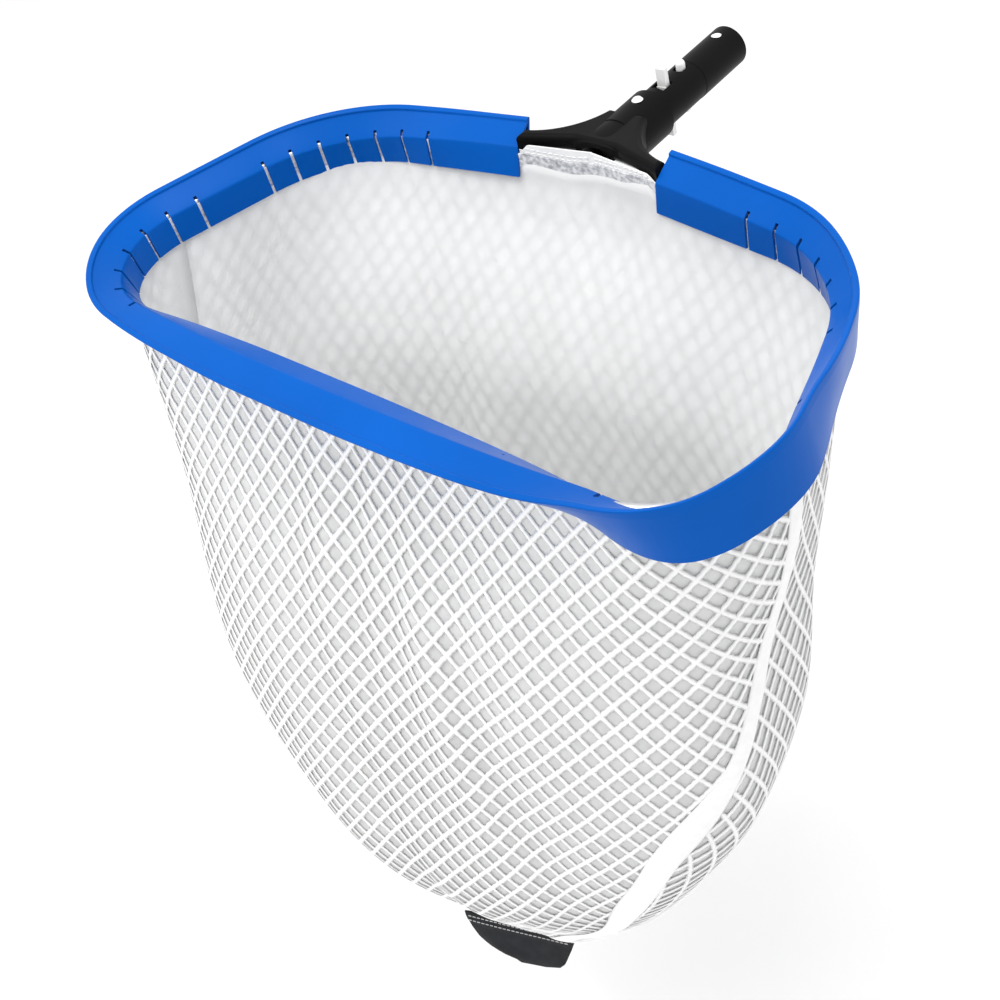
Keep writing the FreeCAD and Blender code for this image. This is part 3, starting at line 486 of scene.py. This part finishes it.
def make_edging(material):
    """The slotted channel, turned to the slope that it has at each place round the hoop."""
    outer, inner, slit_end = edging_contours()
    stations, slit_starts = edging_stations()
    points = []
    for distance in stations:
        place, out = hoop_point(distance)
        roll = edging_turn(distance)
        turn = np.array([[math.cos(roll), -math.sin(roll)], [math.sin(roll), math.cos(roll)]])
        for contour in (outer, inner):
            flat = contour @ turn.T + edging_sag(distance)
            points.append(place + out * flat[:, :1] + np.array([0, 0, 1.0]) * flat[:, 1:])
    faces = edging_faces(stations, slit_starts, len(outer), slit_end)
    piece = add_piece("edging_channel", np.concatenate(points), faces, material,
                      sharp=math.radians(50))
    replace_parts(piece, "edging")


TUBE_OUT, TUBE_UP, TUBE_RADIUS = 1.2, 8.0, 3.0
TUBE_IN_YOKE, TUBE_STATIONS, TUBE_TURN_FADE = 40.0, 400, 60.0
TUBE_TURN = math.radians(18.0)


def make_hoop_tube(material):
    """The hoop's tube, which stays inside the edging where the edging is turned."""
    line, normals = [], []
    reach = EDGING_HALF + TUBE_IN_YOKE
    for distance in np.linspace(-reach, reach, TUBE_STATIONS):
        place, out = hoop_point(distance)
        inside = min(1.0, max(0.0, EDGING_HALF - abs(distance)) / TUBE_TURN_FADE)
        roll = (edging_turn(distance) + TUBE_TURN) * inside
        along = TUBE_OUT * math.cos(roll) - TUBE_UP * math.sin(roll)
        up = TUBE_OUT * math.sin(roll) + TUBE_UP * math.cos(roll)
        line.append(place + out * along + np.array([0, 0, up]))
        normals.append((0, 0, 1))
    points, faces = swept(line, normals, ellipse(TUBE_RADIUS, TUBE_RADIUS, 16))
    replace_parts(add_piece("hoop_tube", points, faces, material), "frame_hoop")


# ---------------------------------------------------------------- hem

HEM_IN, HEM_STATIONS, HEM_WAVE = 3.75, 520, 0.25
HEM_LOW, HEM_TOP = -18.0, 4.6
GAP_HALF, GAP_RISE, GAP_FADE = 56.9, 5.0, 9.0
FRONT_END, FRONT_DROP, FRONT_FADE = 265.0, 10.0, 35.0
FLAT_FROM, FLAT_DROP = 13.0, 0.22
FACING_LOW, FACING_TOP, FACING_FADE = -10.5, -4.5, 4.0
FACING_LOWEST_X, FACING_ROUND = -17.0, 8.0
STITCH_ABOVE = (1.2, 3.9)
STITCH_PITCH, STITCH_LENGTH, STITCH_CROWN = 4.4, 2.9, 0.12


def band_edges(distance):
    """Heights of the hem's edges: it stands up in the gap, and is low where the edging lies flat."""
    gap = min(1.0, max(0.0, abs(distance) - EDGING_HALF) / GAP_FADE)
    front = min(1.0, max(0.0, FRONT_END - abs(distance)) / FRONT_FADE)
    flat = max(0.0, -math.degrees(edging_turn(distance)) - FLAT_FROM)
    rise = GAP_RISE * gap * gap * (3 - 2 * gap)
    return HEM_LOW, HEM_TOP + rise - FRONT_DROP * front - FLAT_DROP * flat * (1 - gap)


def facing_edges(distance):
    """Heights of the grey facing's edges: in the gap it hangs lowest left of the middle."""
    into = min(1.0, max(0.0, (abs(distance) - EDGING_HALF + 1.0) / FACING_FADE))
    x = math.copysign((EDGING_HALF + GAP_HALF - abs(distance)) * abs(math.cos(SLOPE)), distance)
    away = math.hypot(x - FACING_LOWEST_X, FACING_ROUND) - FACING_ROUND
    return FACING_LOW + (2.0 + 0.165 * away) * into, FACING_TOP + (5.5 + 0.09 * away) * into


def hem_strip(offset, edges, reach):
    """A band of the hoop's outline between two heights, round the whole hoop."""
    rows = []
    for part in np.linspace(0, 1, 7):
        row = []
        for distance in np.linspace(-reach, reach, HEM_STATIONS):
            place, out = hoop_point(distance)
            ripple = HEM_WAVE * math.sin(distance / 9.0) * math.sin(distance / 23.0 + 1.0)
            point = place + out * (offset + ripple)
            low, high = edges(distance)
            point[2] = low + (high - low) * part + 0.35 * HEM_WAVE * math.sin(distance / 17.0)
            row.append(point)
        rows.append(row)
    return np.array(rows)


def whole_loop(offset):
    """Distance at which an outline beside the hoop's meets its mirror image at the back."""
    place, out = hoop_point(EDGING_HALF)
    return EDGING_HALF + (place[0] + out[0] * offset) / abs(math.cos(SLOPE))


def thick_band(rows, inwards):
    """A grid, its copy shifted inwards and the rims between them."""
    front, faces = sheet_grid(rows)
    back, _ = sheet_grid(rows + inwards)
    count = len(front)
    every = [tuple(face) for face in faces] + [tuple(int(i) + count for i in face[::-1]) for face in faces]
    height, width = rows.shape[:2]
    for k in range(width - 1):
        every.append((k + 1, k, k + count, k + 1 + count))
        top = (height - 1) * width + k
        every.append((top, top + 1, top + 1 + count, top + count))
    for k in range(height - 1):
        low = k * width
        every.append((low, low + width, low + width + count, low + count))
        high = low + width - 1
        every.append((high + width, high, high + count, high + width + count))
    return np.concatenate([front, back]), every


def make_hem(tape, facing, white):
    """The white hem, its grey facing and the two rows of stitches above the facing."""
    for name, offset, edges, material, slot, node, thick in (
            ("hem_band", -HEM_IN + 0.45, band_edges, tape, "hem_tape", "bag_hem", 0.9),
            ("hem_grey_facing", -HEM_IN - 0.55, facing_edges, facing, "facing_tape", "hem_facing", 0.6)):
        reach = whole_loop(offset)
        outs = [hoop_point(distance)[1] for distance in np.linspace(-reach, reach, HEM_STATIONS)]
        points, faces = thick_band(hem_strip(offset, edges, reach), (-np.array(outs) * thick)[None])
        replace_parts(add_piece(name, points, faces, material), node)
    reach = whole_loop(-HEM_IN)
    dashes = []
    for above in STITCH_ABOVE:
        for distance in np.arange(-reach + 3, reach - 3, STITCH_PITCH):
            line, normals = [], []
            for part in np.linspace(0, STITCH_LENGTH, 4):
                place, out = hoop_point(distance + part)
                crown = STITCH_CROWN * math.sin(math.pi * part / STITCH_LENGTH)
                point = place - out * (HEM_IN + 0.55 + crown)
                point[2] = min(facing_edges(distance)[1] + above, band_edges(distance)[1] - 0.8)
                line.append(point)
                normals.append(-out)
            dashes.append(swept(line, normals, ellipse(0.42, 0.32, 6)))
    points, faces = joined(dashes)
    stitches = add_piece("hem_stitches", points, faces, white, sharp=None)
    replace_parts(stitches, "hem_stitching")


# ---------------------------------------------------------------- bag

TAB_TOP = np.array([-10.5, -418.0, -580.5])
TAB_TURN, TAB_LEAN, TAB_HALF = math.radians(19.0), math.radians(19.3), 50.0
STATIONS = {
    "width": (233.0, 228.4, 234.6, 194.0, 164.3),
    "front": (71.3, 81.0, 87.0, 108.4, 48.7),
    "back": (126.0, 135.8, 151.9, 172.6, 192.8),
    "seam": (-311.7, -352.9, -378.9, -384.5, -403.0),
}
# The values are a least-squares fit to the photo's outlines; the first and last seam were set as listed.
"""Half width, depths before and behind the side seams, and the seams' Y, at five even levels.

The values are a least-squares fit to the photo's outlines; the first and last seam were set by hand.
"""
SEAM_SHIFT = [(0.0, 0), (0.20, 2), (0.29, 0), (0.36, -7), (0.45, -12), (0.55, -18), (0.71, -25), (1.0, -29)]
"""How far round the right side seam has moved, in degrees, against the level; fitted and rounded."""
BAG_TOP, BAG_BOTTOM = -12.0, -591.8
BAG_TWIST = math.radians(17.0)
MOUTH_FADE, MOUTH_IN, ROUNDING = 0.25, 2.9, 2.39
MOUTH_POWER, FRONT_POWER, BACK_POWER, POWER_RATE = 3.4, 2.49, 3.21, 1.6
PULL_DEPTH, PULL_BREADTH, PULL_FROM, PULL_OVER = 9.0, 18.0, 0.88, 0.07
TILT, TILT_FROM, TILT_OVER, TILT_REACH = 0.055, 0.62, 0.3, 200


def mouth_table():
    """Angle and distance of the hoop's outline from the middle of the mouth."""
    loop = whole_loop(0.0)
    angles, radii = [], []
    for number in range(481):
        place, _ = hoop_point(loop * number / 480)
        lift = place[1] - STATIONS["seam"][0]
        angles.append(math.atan2(lift, max(place[0], 1e-9)))
        radii.append(math.hypot(place[0], lift))
    return np.array(angles), np.array(radii)


MOUTH = mouth_table()


def station(name, level):
    """A size of the bag at a level, along a smooth curve through its five stations."""
    values = np.array(STATIONS[name])
    index = np.clip((level * 4).astype(int), 0, 3)
    part = level * 4 - index
    low, high = values[index], values[index + 1]
    before, after = values[np.maximum(index - 1, 0)], values[np.minimum(index + 2, 4)]
    leave, arrive = (high - before) / 2, (after - low) / 2
    return (low * (1 + 2 * part) * (1 - part) ** 2 + leave * part * (1 - part) ** 2
            + high * part ** 2 * (3 - 2 * part) + arrive * part ** 2 * (part - 1))


def folds(level, angle):
    """Soft folds of the hanging cloth, in millimetres outwards; none at the mouth or the bottom."""
    fade = np.sin(np.clip(level, 0, 1) * math.pi) ** 0.8
    slow = 2.6 * np.sin(5.0 * angle + 3.0 * level) + 1.7 * np.sin(9.0 * angle - 5.0 * level + 1.3)
    crease = 2.2 * np.cos(13.0 * angle + 2.0 * np.sin(6.0 * level))
    return fade * (slow + crease * np.clip(1.3 - 1.6 * level, 0, 1))


def tab_pull(x, y, level):
    """How far down the bottom is drawn: by the pull tab's ends, and by its slight tilt to the left."""
    along = (x - TAB_TOP[0]) * math.cos(TAB_TURN) + (y - TAB_TOP[1]) * math.sin(TAB_TURN)
    across = (y - TAB_TOP[1]) * math.cos(TAB_TURN) - (x - TAB_TOP[0]) * math.sin(TAB_TURN)
    past = np.maximum(abs(along) - TAB_HALF, 0)
    end = np.minimum((along / TAB_HALF) ** 2, 1.0) * np.exp(-past ** 2 / 700.0)
    low = np.clip((level - PULL_FROM) / PULL_OVER, 0, 1)
    drawn = PULL_DEPTH * end * np.exp(-(across / PULL_BREADTH) ** 2) * low
    tilted = np.clip((level - TILT_FROM) / TILT_OVER, 0, 1)
    return drawn - TILT * along * tilted * np.clip(1.5 - abs(along) / TILT_REACH, 0, 1)


def bag_surface(level, angle, inset):
    """Points of the bag at a level from 0 to 1 and an angle round it, right seam 0, back positive."""
    level, angle = np.broadcast_arrays(np.asarray(level, float), np.asarray(angle, float))
    shift = sum(np.interp(level + step, *zip(*SEAM_SHIFT)) for step in (-0.05, -0.025, 0, 0.025, 0.05)) / 5
    angle = angle + np.radians(shift) * (1 + np.cos(angle)) / 2
    closing = np.clip(1 - level ** ROUNDING, 0, 1) ** (1 / ROUNDING)
    ahead = np.sin(angle) < 0
    width = station("width", level) * closing
    depth = np.where(ahead, station("front", level), station("back", level)) * closing
    power = np.where(ahead, FRONT_POWER, BACK_POWER) - MOUTH_POWER
    power = MOUTH_POWER + power * np.minimum(level * POWER_RATE, 1)
    oval = ((abs(np.cos(angle)) / width) ** power + (abs(np.sin(angle)) / depth) ** power) ** (-1 / power)
    folded = np.where(abs(angle) <= math.pi / 2, angle, np.sign(angle) * math.pi - angle)
    fade = np.clip(level / MOUTH_FADE, 0, 1)
    fade = fade * fade * (3 - 2 * fade)
    mouth = np.interp(folded, *MOUTH) - MOUTH_IN
    radius = mouth + (oval - mouth) * fade - inset + folds(level, angle)
    turned = angle + BAG_TWIST * level
    x, y = radius * np.cos(turned), station("seam", level) + radius * np.sin(turned)
    return np.stack([x, y, BAG_TOP + (BAG_BOTTOM - BAG_TOP) * level - tab_pull(x, y, level)], -1)


PANEL_ROWS, PANEL_HALF_COLUMNS = 240, 90
NET_DEEPEST, LINER_DEEPEST = 0.985, 0.994
NORMAL_STEP = 0.004


class Panel:
    """One panel of the bag as a flat cut: s across from its middle, t down from the mouth."""

    def __init__(self, start, inset, deepest):
        self.inset = inset
        self.levels = np.linspace(0, deepest, PANEL_ROWS)
        self.angles = np.linspace(start, start + math.pi, 2 * PANEL_HALF_COLUMNS + 1)
        grid = bag_surface(self.levels[:, None], self.angles[None], inset)
        across = np.cumsum(np.linalg.norm(np.diff(grid, axis=1), axis=2), axis=1)
        across = np.concatenate([np.zeros((len(self.levels), 1)), across], axis=1)
        self.across = across - across[:, PANEL_HALF_COLUMNS, None]
        down = np.cumsum(np.linalg.norm(np.diff(grid[:, PANEL_HALF_COLUMNS], axis=0), axis=1))
        self.down = np.concatenate([[0], down])
        self.length = self.down[-1]
        self.grid = grid

    def half_width(self, t, side):
        """Where a side seam lies, at a distance down."""
        return np.interp(t, self.down, self.across[:, -1 if side > 0 else 0])

    def place(self, s, t):
        """Points in space and outward directions, for points of the cut."""
        level = np.interp(t, self.down, self.levels)
        row = np.clip(np.searchsorted(self.levels, level) - 1, 0, len(self.levels) - 2)
        part = (level - self.levels[row]) / (self.levels[row + 1] - self.levels[row])
        angle = np.empty_like(s)
        for index in np.ndindex(s.shape):
            widths = self.across[row[index]] * (1 - part[index]) + self.across[row[index] + 1] * part[index]
            angle[index] = np.interp(s[index], widths, self.angles)
        return bag_surface(level, angle, self.inset), self.outwards(level, angle)

    def outwards(self, level, angle):
        down = bag_surface(np.minimum(level + NORMAL_STEP, LINER_DEEPEST), angle, 0)
        down -= bag_surface(np.maximum(level - NORMAL_STEP, 0), angle, 0)
        round_it = bag_surface(level, angle + NORMAL_STEP, 0) - bag_surface(level, angle - NORMAL_STEP, 0)
        normal = np.cross(down, round_it)
        return normal / np.linalg.norm(normal, axis=-1)[..., None]


"""The part of the net's cut that its strands cover."""
NET_HALF_PITCH, NET_REACH = 8.0, 330
STRAND_STEP = 2.9
STRAND_HALF_WIDTH, STRAND_HALF_HEIGHT, STRAND_KNOTS = 2.0, 0.55, 0.13
FRONT_ROWS, BACK_ROWS = (9.8, 12.0), (12.0, 13.5)
"""Half a diamond's height at the top and at the bottom of each net."""


def net_strands(panel, top_down, low_down):
    """Every strand of the diamond net on a panel, as points of the cut."""
    rows = [0.0]
    while rows[-1] < panel.length:
        rows.append(rows[-1] + top_down + (low_down - top_down) * rows[-1] / panel.length)
    number = np.arange(len(rows))
    t = np.arange(0, panel.length, 1.0)
    right, left = panel.half_width(t, 1), panel.half_width(t, -1)
    reach = int(NET_REACH / NET_HALF_PITCH)
    strands = []
    for lean in (1, -1):
        for first in range(-reach - len(rows), reach + len(rows)):
            if first % 2:
                continue
            s = np.interp(t, rows, (first + lean * number) * NET_HALF_PITCH)
            inside = (s < right) & (s > left)
            edges = np.flatnonzero(np.diff(np.concatenate([[0], inside.astype(int), [0]])))
            for low, high in zip(edges[::2], edges[1::2]):
                if high - low < 4:
                    continue
                count = max(3, int((high - low) * 1.25 / STRAND_STEP))
                keep = np.unique(np.round(np.linspace(low, high - 1, count)).astype(int))
                strands.append((s[keep], t[keep]))
    return strands


def make_net(name, start, node, material, rows):
    """One panel of the net: flat strands, a little wider at every other point, as knitting is."""
    panel = Panel(start, 0.0, NET_DEEPEST)
    strands = net_strands(panel, *rows)
    places, normals = panel.place(np.concatenate([s for s, _ in strands]),
                                  np.concatenate([t for _, t in strands]))
    section = ellipse(STRAND_HALF_WIDTH, STRAND_HALF_HEIGHT, 4)
    pieces = []
    begin = 0
    for s, _ in strands:
        end = begin + len(s)
        widths = 1 + STRAND_KNOTS * (-1.0) ** np.arange(len(s))
        pieces.append(swept(places[begin:end], normals[begin:end], section, widths))
        begin = end
    points, faces = joined(pieces)
    piece = add_piece(name, points, faces, material, sharp=None)
    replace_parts(piece, node)
    return piece, panel


LINER_OUTER, LINER_INNER = 1.1, 2.1


def mouth_lift(place):
    """How far the liner's top rises to meet the facing's lower edge, at a point of the mouth."""
    x, y = place[:2]
    distance = math.copysign(whole_loop(-4.0) - abs(x) / abs(math.cos(SLOPE)), x)
    at_back = y > -185 and abs(x) < 75
    return facing_edges(distance if at_back else 0.0)[0] + 1.0 - BAG_TOP


def make_liner(name, start, node, outer, inner):
    """A panel of the liner: its outside face takes the darker copy of the cloth, as painted shade, and its
    inside face the lighter copy, as painted light.
    """
    panel = Panel(start, LINER_OUTER, LINER_DEEPEST)
    rows = panel.grid[::2, ::2].copy()
    inwards = bag_surface(panel.levels[::2, None], panel.angles[None, ::2], LINER_INNER) - rows
    for column in range(rows.shape[1]):
        rows[:, column, 2] += mouth_lift(rows[0, column]) * np.clip(1 - panel.levels[::2] / 0.05, 0, 1)
    points, faces = thick_band(rows, inwards)
    piece = add_piece(name, points, faces, outer, sharp=None)
    # The inside faces and rims take the second material, the lighter copy of the same cloth, as painted
    # light.
    piece.data.materials.append(inner)
    grid_faces = (rows.shape[0] - 1) * (rows.shape[1] - 1)
    for polygon in piece.data.polygons[grid_faces:]:
        polygon.material_index = 1
    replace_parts(piece, node)
    return piece, panel


def make_seam(side, edge, towards, tape):
    """The band of gathered cloth along a side seam; it lies on the front panel."""
    levels = np.linspace(0.02, 0.975, 90)
    middle = np.stack([0 * levels, station("seam", levels)], -1)
    radius = np.linalg.norm(bag_surface(levels, edge, 0.0)[:, :2] - middle, axis=1)
    width = 13.0 + 4.0 * np.sin(levels * math.pi) + 1.0 * np.sin(levels * 31.0)
    rows = []
    for part in np.linspace(0, 1, 9):
        crown = 1.6 * math.sin(math.pi * min(part * 1.15, 1.0))
        rows.append(bag_surface(levels, edge + towards * part * width / np.maximum(radius, 30), -1.0 - crown))
    rows = np.array(rows)
    shift = rows.mean(axis=(0, 1)) - rows
    shift[..., 2] = 0
    shift /= np.linalg.norm(shift, axis=-1)[..., None]
    points, faces = thick_band(rows, shift * 1.2)
    piece = add_piece(f"seam_allowance_{side}", points, faces, tape, sharp=None)
    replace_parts(piece, f"seam_binding_{side}")


def make_bag(cord, outer, inner, tape):
    for part, start, rows in (("front", -math.pi, FRONT_ROWS), ("back", 0.0, BACK_ROWS)):
        piece, panel = make_net(f"net_{part}", start, f"bag_net_{part}", cord, rows)
        piece, panel = make_liner(f"liner_{part}", start, f"bag_liner_{part}", outer, inner)
    make_seam("right", 0.0, -1, tape)
    make_seam("left", math.pi, 1, tape)


# ---------------------------------------------------------------- pull tab

TAB_DROP, TAB_COLUMNS, TAB_ROWS = -41.0, 60, 16
TAB_LEFT = [(-50.0, 0.0), (-49.0, -6.0), (-44.0, -16.0), (-38.0, -24.0), (-29.0, -30.0),
            (-16.0, -35.5), (0.0, -39.5)]
TAB_RIGHT = [(50.0, 0.0), (50.0, -6.0), (47.0, -15.0), (43.5, -24.0), (40.0, -33.0),
             (34.0, -39.5), (22.0, -41.0)]
"""The flat tab's two sides, as (across, down)."""
TAB_HALF_THICK, TAB_FOLD_THICK, TAB_FOLD_END = 1.2, 0.8, 0.24
TAB_STITCH_ROWS = (-2.6, -7.2)


def tab_place(across, drop, lift):
    """A point of the pull tab from its flat place, with a slight bend, in the CAD frame."""
    fallen = drop / TAB_DROP
    bow = 2.6 * (1 - (across / TAB_HALF) ** 2) * fallen - 1.2 * math.sin(across / 17.0) * fallen
    local = Vector((across, -bow - lift, drop))
    turn = Matrix.Rotation(TAB_TURN, 3, "Z") @ Matrix.Rotation(-TAB_LEAN, 3, "X")
    return TAB_TOP + np.array(turn @ local)


def tab_side(outline, drop):
    """Where one side of the tab's outline lies at a drop."""
    return np.interp(drop, [z for _, z in outline][::-1], [x for x, _ in outline][::-1])


def tab_points():
    """The tab's front and back, thicker where its top is folded and thinner at its rim."""
    points = []
    for face_side in (1, -1):
        for row in range(TAB_ROWS + 1):
            part = row / TAB_ROWS
            drop = TAB_DROP * part
            left, right = tab_side(TAB_LEFT, drop), tab_side(TAB_RIGHT, drop)
            thick = TAB_HALF_THICK + (TAB_FOLD_THICK if part < TAB_FOLD_END else 0.0)
            for column in range(TAB_COLUMNS + 1):
                u = column / TAB_COLUMNS
                rim = min(1.0, 6 * min(u, 1 - u, 1 - part) + 0.35)
                points.append(tab_place(left + (right - left) * u, drop, face_side * thick * rim))
    return np.array(points)


def tab_faces():
    width = TAB_COLUMNS + 1
    layer = (TAB_ROWS + 1) * width
    faces = []
    for row in range(TAB_ROWS):
        for column in range(TAB_COLUMNS):
            here = row * width + column
            back = here + layer
            faces.append((here, here + width, here + width + 1, here + 1))
            faces.append((back, back + 1, back + width + 1, back + width))
    for column in range(TAB_COLUMNS):
        low = TAB_ROWS * width + column
        faces.append((column, column + 1, column + 1 + layer, column + layer))
        faces.append((low + 1, low, low + layer, low + 1 + layer))
    for row in range(TAB_ROWS):
        left = row * width
        right = left + TAB_COLUMNS
        faces.append((left + width, left, left + layer, left + width + layer))
        faces.append((right, right + width, right + width + layer, right + layer))
    return faces


def make_pull_tab(webbing, grey):
    tab = add_piece("tab_webbing_piece", tab_points(), tab_faces(), webbing, "tab",
                    math.radians(60))
    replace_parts(tab, "pull_tab")
    dashes = []
    for drop in TAB_STITCH_ROWS:
        for across in np.arange(-46.0, 44.5, 4.0):
            for side in (1, -1):
                line = [tab_place(across + step, drop, side * 2.15) for step in np.linspace(0, 2.7, 4)]
                facing = tab_place(across, drop, 3.0) - tab_place(across, drop, 2.0)
                dashes.append(swept(line, [facing * side] * 4, ellipse(0.45, 0.35, 6)))
    points, faces = joined(dashes)
    stitches = add_piece("tab_stitches", points, faces, grey, "tab", None)
    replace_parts(stitches, "tab_stitching")


def paint_nodes(finishes):
    """Give each CAD node that stays its own finish."""
    for node, material in finishes.items():
        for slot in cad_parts[node].material_slots:
            slot.material = material


# ---------------------------------------------------------------- the scene

add_camera()
add_lamps()
add_world()
add_floor()
black, nylon, tape = black_plastic(), white_nylon(), hem_tape()
paint_nodes({"yoke": black, "handle_tube": black, "socket_pin": nylon, "nose_rivet": nylon,
             "clip_bend": nylon, "clip_leg_upper": nylon, "clip_leg_lower": nylon})
make_edging(blue_plastic())
make_hoop_tube(hoop_metal())
make_hem(tape, facing_tape(), thread("white_thread", (0.8, 0.8, 0.8), (0.95, 0.95, 0.95)))
# The liner is one white cloth in two copies: the outside copy is darker, as painted shade, and the inside
# copy lighter, as painted light for the inside of the bag.
make_bag(cord_white(),
         liner_mesh("liner_outside_painted_shade", (0.68, 0.685, 0.68), (0.78, 0.785, 0.78), 0.03, 0.3),
         liner_mesh("liner_inside_painted_light", (0.94, 0.94, 0.94), (0.985, 0.985, 0.985), 0.03, 0.3), tape)
make_pull_tab(tab_webbing(), thread("grey_thread", (0.5, 0.5, 0.5), (0.7, 0.7, 0.7)))
